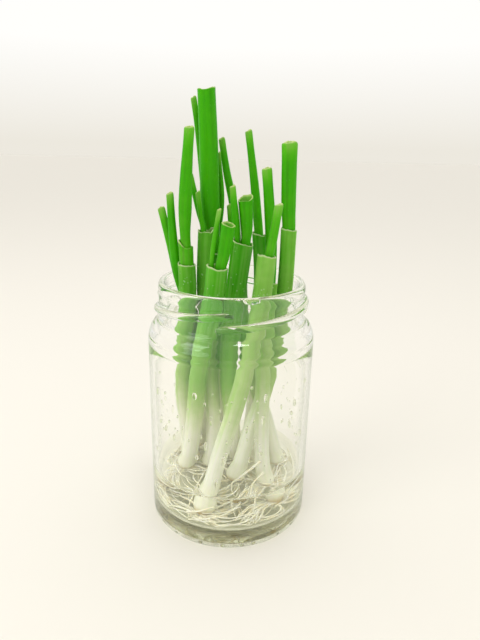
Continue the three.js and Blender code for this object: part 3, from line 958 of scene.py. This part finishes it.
def press(piece, leaf, long):
    """Presses the leaf's foot oval where it shares the sheath, and pinches the tip that the knife closed."""
    wide, deep = leaf.get("fill", (1, 1))
    free = leaf.get("depth", MOUTH_DEPTH) + 1
    for vertex in piece.data.vertices:
        height = vertex.co.z / MM
        share = 1 - ease((height - free) / PRESSED)
        vertex.co.x *= mix(1, wide, share)
        vertex.co.y *= mix(1, deep, share)
        if not leaf.get("open"):
            pinch = ease((height - long + PINCHED) / PINCHED)
            vertex.co.x *= 1 + 0.05 * pinch
            vertex.co.y *= 1 - 0.46 * pinch


TIP_PALER = 0.25  # how much less green a closed tip is
TIP_LENGTH = 8  # mm


def add_leaf(plant, leaf, seed):
    """A leaf or inner sheath, turned upright, roughened, pressed, cut and bent along its line."""
    route = leaf_route(plant, leaf)
    long = route.length
    piece = turned(f"{plant['name']}_{leaf['name']}_blade", leaf_profile(leaf, long), LEAF_SIDES)
    fade = 0 if leaf.get("open") else TIP_PALER

    def green_at(height):
        tip = ease(1 - (long - height) / TIP_LENGTH)
        return leaf["tone"] * mix(0.93, 1, ease(height / long)) * (1 - fade * tip)

    mark(piece, green_at, leaf_radius(leaf, long), long)
    make_natural(piece, seed + 1000, 0.05, 0.12)
    press(piece, leaf, long)
    shape_cut(piece, long, *leaf["cut"], seed, leaf.get("notch", 0))
    bend_along(piece, route)
    smooth(piece, 60)
    piece.data.materials.append(LEAF_SKIN)
    return piece


# The roots

FLOOR_TOP = 6.9
FLOOR_EDGE = 25.6  # how far from the middle the floor starts to curve up into the wall
ROOTS_PER_PLANT = 26
BUNDLES_PER_PLANT = 6
ROOT_STEP = 1.4
ROOT_LENGTH = (9, 30)  # mm, between these
ROOT_SPACE = 29.9  # the roots' farthest reach from the jar's middle
ROOT_TOP = 19  # the highest that a root lies on the wall
BULB_CLEAR = 4.6  # how far a root keeps from another onion's middle


def root_route(plant, turn, bends, chance):
    """One root: out of the plate and down to the jar's floor, then over it with its bundle's
    turns and along the wall."""
    x, y, z = plant["route"][0]
    lie = FLOOR_TOP + 0.4 + chance.random() ** 1.6 * 7
    points = [
        (x + 1.2 * math.cos(turn), y + 1.2 * math.sin(turn), z + 0.8),
        (x + 2.1 * math.cos(turn), y + 2.1 * math.sin(turn), z - 0.3),
    ]
    heading = turn
    place = Vector(points[-1])
    others = [Vector(p["route"][0]).to_2d() for p in PLANTS if p is not plant]
    wall_rise = chance.uniform(0, 0.7)
    climb = 0.0
    for bend in bends[:int(chance.uniform(*ROOT_LENGTH) / ROOT_STEP)]:
        heading += bend * 0.5 + chance.uniform(-0.06, 0.06)
        ahead = Vector((math.cos(heading), math.sin(heading)))
        spot = place.to_2d() + ahead * ROOT_STEP
        for other in others:
            away = spot - other
            if away.length < BULB_CLEAR:
                spot = other + away.normalized() * BULB_CLEAR
        if spot.length > ROOT_SPACE:
            spot = spot.normalized() * ROOT_SPACE
            lie = min(ROOT_TOP, lie + wall_rise)
            round_way = Vector((-spot.y, spot.x)).normalized()
            if round_way.dot(ahead) < 0:
                round_way = -round_way
            heading = math.atan2(round_way.y, round_way.x)
        floor = FLOOR_TOP + 0.35 + max(0.0, spot.length - FLOOR_EDGE) ** 2 * 0.17
        climb = max(-0.45, min(0.45, climb + chance.uniform(-0.2, 0.2)))
        lie += climb
        place = Vector((*spot, mix(place.z, max(floor, lie), 0.4)))
        points.append(tuple(place))
    return points


# A torn root over the water's edge, and a hank that hangs from the same bulb.
LOOSE_ROOTS = [
    [(13, -14.5, 29.5), (8.5, -15.6, 25.8), (3.4, -16.4, 21.6), (1.4, -16.8, 18.2), (1.2, -17.2, 13),
     (2.6, -18.6, 8.6)],
    [(14.6, -14.2, 24), (11.4, -16, 21), (9.6, -17.2, 17), (9.2, -18.4, 12), (8.2, -20, 8.4)],
]

# Roots that hang together from a bulb: how many, between which headings in radians, how far
# they reach in mm and the height of their start.
HANKS = {
    "mid_right": (34, (-2.5, -1.95), (10, 18), 10.8),
    "front_right": (20, (-2.7, -0.2), (4, 9), 9.4),
    "front_left": (24, (-2.4, -1.6), (10, 20), 10.4),
    "left": (14, (-3.4, -2.5), (6, 14), 10.4),
}


def hank_route(start, turn, reach, sway, chance):
    """A root of a hank, which drops to the floor as it leaves the bulb."""
    x, y, z = start
    x, y = x + chance.uniform(-1.2, 1.2), y + chance.uniform(-1.2, 1.2)
    sway += chance.uniform(-0.5, 0.5)
    ahead, aside = Vector((math.cos(turn), math.sin(turn))), Vector((-math.sin(turn), math.cos(turn)))
    floor = FLOOR_TOP + 0.6 + 2.8 * chance.random()
    points = []
    for share in (0, 0.2, 0.45, 0.7, 1):
        spot = Vector((x, y)) + ahead * (1.2 + reach * share) + aside * sway * math.sin(share * 4)
        if spot.length > ROOT_SPACE - 1:
            spot = spot.normalized() * (ROOT_SPACE - 1)
        height = mix(z + 2.0 * math.sin(share * 3), floor, share) + max(0, spot.length - 26) ** 2 * 0.1
        points.append((*spot, height))
    return points


NO_HANK = (0, (0, 0), (0, 0), 0)
THICK, THIN, HANKED = 1.1, 0.75, 0.95  # mm


def add_roots(plant, seed):
    """An onion's own roots in bundles that bend alike, and its hank if it has one, as one mesh."""
    chance = random.Random(seed)
    bundles = []
    for i in range(BUNDLES_PER_PLANT):
        turn = 2 * math.pi * (i + chance.uniform(-0.35, 0.35)) / BUNDLES_PER_PLANT
        bend = chance.uniform(-0.25, 0.25)
        bends = []
        for _ in range(30):
            bend = max(-0.5, min(0.5, bend + chance.uniform(-0.12, 0.12)))
            bends.append(bend)
        bundles.append((turn, bends))
    thick, thin = [], []
    for i in range(ROOTS_PER_PLANT):
        turn, bends = bundles[i % BUNDLES_PER_PLANT]
        route = root_route(plant, turn + chance.uniform(-0.25, 0.25), bends, chance)
        (thin if i % 5 < 3 else thick).append(route)
    if plant["name"] == "mid_right":
        thick += LOOSE_ROOTS
    count, turns, reaches, height = HANKS.get(plant["name"], NO_HANK)
    start = (*plant["route"][0][:2], height)
    sway = chance.choice((-1.8, 1.8))
    hank = [
        hank_route(start, chance.uniform(*turns), chance.uniform(*reaches), sway, chance)
        for _ in range(count)
    ]
    pieces = []
    for routes, width, tip in ((thick, THICK, 0.45), (thin, THIN, 0.45), (hank, HANKED, 0.65)):
        if routes:
            lines = [Route(route, 1.0).points for route in routes]
            pieces.append(strands("root", lines, width, ends=(1.0, tip)))
    piece = join(pieces, plant["name"] + "_roots")
    smooth(piece, 80)
    piece.data.materials.append(ROOT_SKIN)
    return piece


# Putting the bunch together

def stand_for(piece, node):
    """Ties a finished piece to the body and hides the CAD node that it replaces."""
    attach(piece, "root")
    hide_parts(node)


stand_for(add_jar(), "glass_jar")
stand_for(add_water(), "water")
stand_for(add_drops(), "water")
for number, plant in enumerate(PLANTS):
    shank = add_shank(plant, 100 + number)
    roots = add_roots(plant, 500 + number)
    onion = join([shank, roots], plant["name"] + "_onion")
    stand_for(onion, plant["name"] + "_shank")
    for place, leaf in enumerate(plant["leaves"]):
        blade = add_leaf(plant, leaf, 200 + number * 10 + place)
        stand_for(blade, f"{plant['name']}_{leaf['name']}")


# Floor and light

FLOOR_COLOUR = colour(247, 243, 234)
FLOOR_SIZE = 12  # metres
HORIZON = colour(231, 227, 217)  # what the floor looks like far off
ROOM_LIGHT = 1.06
HAZE = 0.16  # how far up the horizon's colour reaches, as the sine of the angle
JAR_MIDDLE = Vector((0, 0, 0.08))


def add_floor():
    """A plain pale floor, which isn't part of the object."""
    bpy.ops.object.select_all(action="DESELECT")
    bpy.ops.mesh.primitive_plane_add(size=FLOOR_SIZE)
    floor = bpy.context.object
    floor.name = "pale_floor"
    surface = {"Base Color": FLOOR_COLOUR, "Roughness": 0.6, "Specular IOR Level": 0.2}
    floor.data.materials.append(new_material("pale floor", surface)[0])


def add_lamp(name, place, size, power):
    """A square soft lamp that faces the jar: its place and size in metres, its power in watts."""
    bpy.ops.object.light_add(type="AREA", location=place)
    lamp = bpy.context.object
    lamp.name = name
    lamp.data.size = size
    lamp.data.energy = power
    lamp.rotation_euler = (JAR_MIDDLE - Vector(place)).to_track_quat("-Z", "Y").to_euler()


def add_world():
    """A bright room: white above and behind the jar, dimmer behind the camera, and the far
    floor's colour at the horizon."""
    world = bpy.data.worlds.new("room")
    bpy.context.scene.world = world
    world.use_nodes = True
    tree = world.node_tree
    background = tree.nodes["Background"]
    place = add_node(tree, "TexCoord").outputs["Generated"]
    axes = add_node(tree, "SeparateXYZ", {0: place}).outputs
    walls = ramp(tree, ranged(tree, axes["Y"], -1.0, 1.0), [
        (0.0, colour(214, 211, 206)),
        (0.35, colour(228, 226, 222)),
        (0.7, colour(246, 245, 242)),
        (1.0, colour(250, 249, 246)),
    ])
    rise = ranged(tree, axes["Z"], 0.0, HAZE)
    tree.links.new(mixed(tree, rise, HORIZON, walls), background.inputs[0])
    background.inputs[1].default_value = ROOM_LIGHT


add_floor()
add_lamp("window", (-0.6, -0.35, 0.6), size=0.45, power=1.52)
add_lamp("ceiling light", (0.12, -0.1, 0.95), size=0.16, power=0.95)
add_world()
bpy.context.scene.view_settings.view_transform = "Standard"
